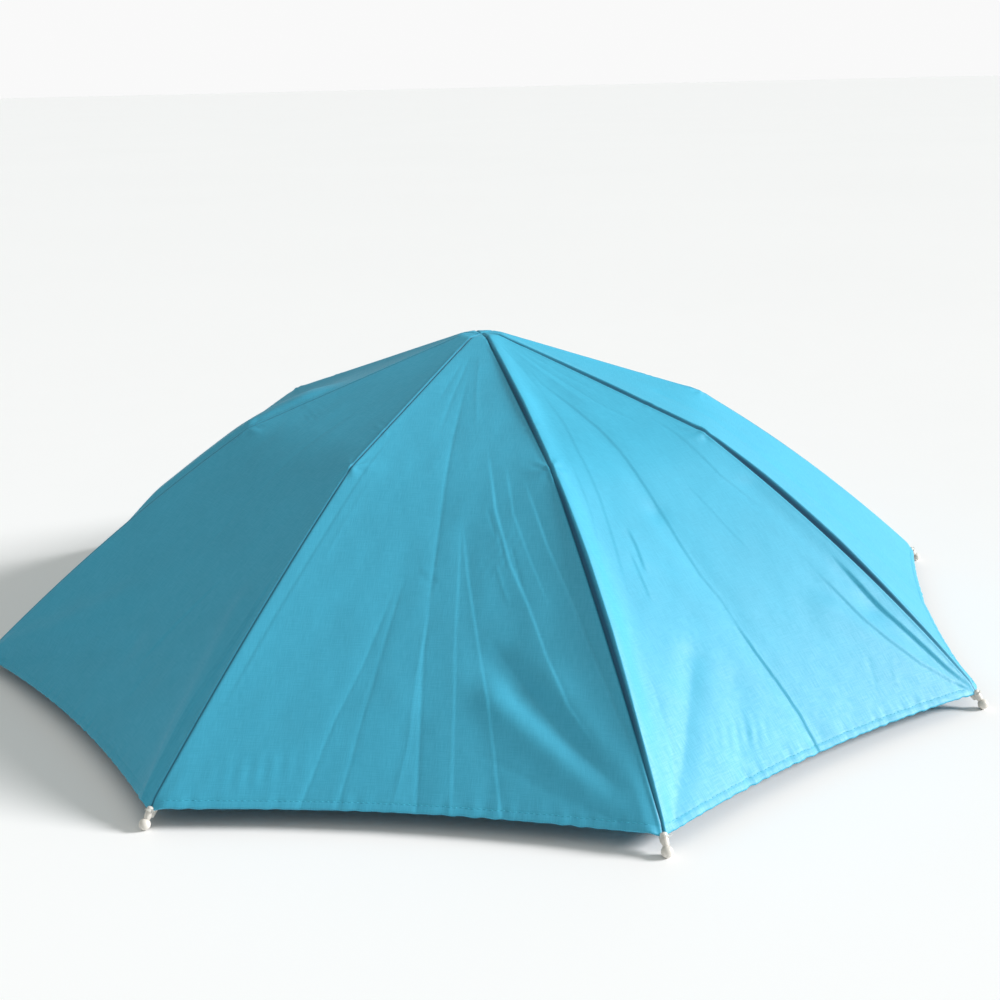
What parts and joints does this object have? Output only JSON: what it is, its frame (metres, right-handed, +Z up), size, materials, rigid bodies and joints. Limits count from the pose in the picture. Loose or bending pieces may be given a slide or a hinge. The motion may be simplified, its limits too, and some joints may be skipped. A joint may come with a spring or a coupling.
{
  "type": "umbrella hat",
  "caption": "Wide folding umbrella worn on the head: a low satin canopy of sewn gores over hinged ribs with ball tips, carried by a plastic crown piece and an oval headband.",
  "frame": {"origin": "on the surface that the ball tips stand on, under the crown", "axes": "+Z up along the hat's axis, -Y towards the first rib, +X towards the third"},
  "size_m": [0.6688, 0.6688, 0.1942],
  "materials": {
    "canopy_cloth": "blue satin weave",
    "steel": "plain bright steel",
    "black_plastic": "moulded",
    "white_plastic": "off-white",
    "band_cloth": "padded band"
  },
  "bodies": {
    "root": {"gore_1": "canopy_cloth", "gore_2": "canopy_cloth", "gore_3": "canopy_cloth", "gore_4": "canopy_cloth", "gore_5": "canopy_cloth", "gore_6": "canopy_cloth", "gore_7": "canopy_cloth", "gore_8": "canopy_cloth", "inner_rib_1": "steel", "inner_rib_2": "steel", "inner_rib_3": "steel", "inner_rib_4": "steel", "inner_rib_5": "steel", "inner_rib_6": "steel", "inner_rib_7": "steel", "inner_rib_8": "steel", "outer_rib_1": "steel", "outer_rib_2": "steel", "outer_rib_3": "steel", "outer_rib_4": "steel", "outer_rib_5": "steel", "outer_rib_6": "steel", "outer_rib_7": "steel", "outer_rib_8": "steel", "stretcher_1": "steel", "stretcher_2": "steel", "stretcher_3": "steel", "stretcher_4": "steel", "stretcher_5": "steel", "stretcher_6": "steel", "stretcher_7": "steel", "stretcher_8": "steel", "rib_tip_1": "white_plastic", "rib_tip_2": "white_plastic", "rib_tip_3": "white_plastic", "rib_tip_4": "white_plastic", "rib_tip_5": "white_plastic", "rib_tip_6": "white_plastic", "rib_tip_7": "white_plastic", "rib_tip_8": "white_plastic", "crown_arm_1": "black_plastic", "crown_arm_2": "black_plastic", "crown_arm_3": "black_plastic", "crown_arm_4": "black_plastic", "crown_hub": "black_plastic", "shaft": "steel", "runner": "black_plastic", "crown_plate": "black_plastic", "headband": "band_cloth"}
  },
  "joints": []
}
